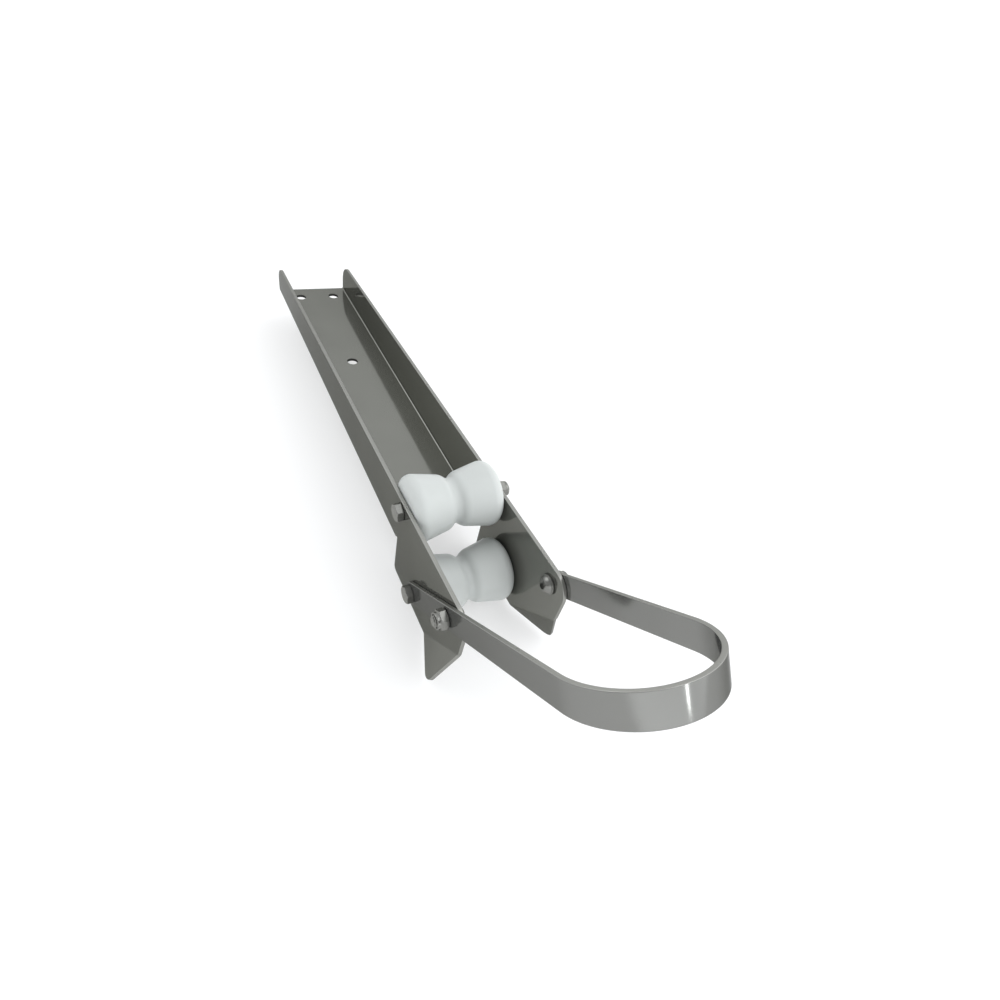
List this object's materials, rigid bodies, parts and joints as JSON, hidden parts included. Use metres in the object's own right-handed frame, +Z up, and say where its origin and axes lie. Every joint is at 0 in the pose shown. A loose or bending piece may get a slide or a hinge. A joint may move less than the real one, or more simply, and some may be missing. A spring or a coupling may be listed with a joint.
{
  "type": "bow roller",
  "caption": "Folded stainless bow roller: an open channel carries waisted nylon rollers on through bolts between flared cheeks, with a slanting retaining bail over the front.",
  "frame": {"origin": "on the underside of the channel's floor, on its centre line, midway between the two rear screw holes", "axes": "+X towards the bow, along the channel; +Y to port; +Z up, away from the deck"},
  "size_m": [0.6475, 0.1084, 0.1929],
  "materials": {
    "polished_stainless": "bright polished stainless sheet with a faint haze",
    "bail_stainless": "polished stainless flat bar with soft rolling marks",
    "fastener_stainless": "plain stainless fastener, lightly polished",
    "roller_nylon": "turned white nylon, satin",
    "insert_nylon": "white nylon locking ring"
  },
  "bodies": {
    "frame": {"channel": "polished_stainless", "bail": "bail_stainless", "upper_sleeve": "fastener_stainless", "lower_sleeve": "fastener_stainless", "upper_axle_bolt": "fastener_stainless", "lower_axle_bolt": "fastener_stainless", "upper_axle_washer": "fastener_stainless", "lower_axle_washer": "fastener_stainless", "upper_axle_nut": "fastener_stainless", "lower_axle_nut": "fastener_stainless", "upper_axle_nut_insert": "insert_nylon", "lower_axle_nut_insert": "insert_nylon", "starboard_bail_bolt": "fastener_stainless", "port_bail_bolt": "fastener_stainless", "starboard_bail_washer": "fastener_stainless", "port_bail_washer": "fastener_stainless", "starboard_bail_nut": "fastener_stainless", "port_bail_nut": "fastener_stainless", "starboard_bail_nut_insert": "insert_nylon", "port_bail_nut_insert": "insert_nylon"},
    "upper_roller": {"upper_roller": "roller_nylon"},
    "lower_roller": {"lower_roller": "roller_nylon"}
  },
  "joints": [
    {"name": "upper_roller_spin", "type": "hinge", "parent": "frame", "child": "upper_roller", "pos_m": [0.398, 0, 0.039], "axis": [0, 1, 0], "continuous": true},
    {"name": "lower_roller_spin", "type": "hinge", "parent": "frame", "child": "lower_roller", "pos_m": [0.43801, 0, -0.01095], "axis": [0, 1, 0], "continuous": true}
  ]
}
